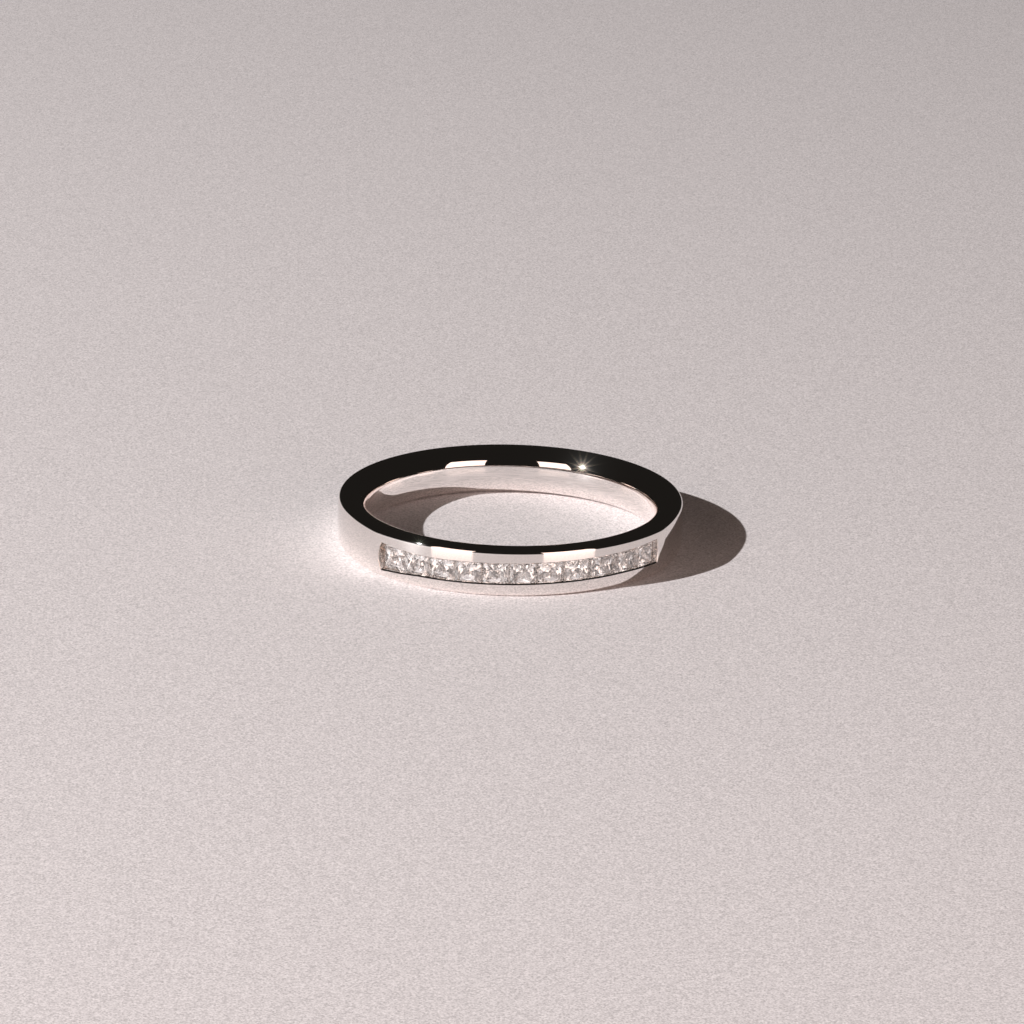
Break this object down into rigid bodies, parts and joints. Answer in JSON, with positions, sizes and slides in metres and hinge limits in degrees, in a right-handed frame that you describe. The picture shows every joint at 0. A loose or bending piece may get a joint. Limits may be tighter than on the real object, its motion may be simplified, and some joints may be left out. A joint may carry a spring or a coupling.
{
  "type": "half eternity ring",
  "caption": "Half eternity ring: a polished white metal band with square-cut clear stones channel-set side by side across its front.",
  "frame": {"origin": "centre of the finger hole, half way across the band's width", "axes": "+Z along the finger hole, up as the ring lies on its side; the middle of the stone row faces -Y; +X to the viewer's right"},
  "size_m": [0.02, 0.0201, 0.0028],
  "materials": {
    "band": "high polish, rhodium-plated white gold",
    "stone": "polished square-cut colourless diamond"
  },
  "bodies": {
    "root": {"band": "band", "stone_01": "stone", "stone_02": "stone", "stone_03": "stone", "stone_04": "stone", "stone_05": "stone", "stone_06": "stone", "stone_07": "stone", "stone_08": "stone", "stone_09": "stone", "stone_10": "stone", "stone_11": "stone"}
  },
  "joints": []
}
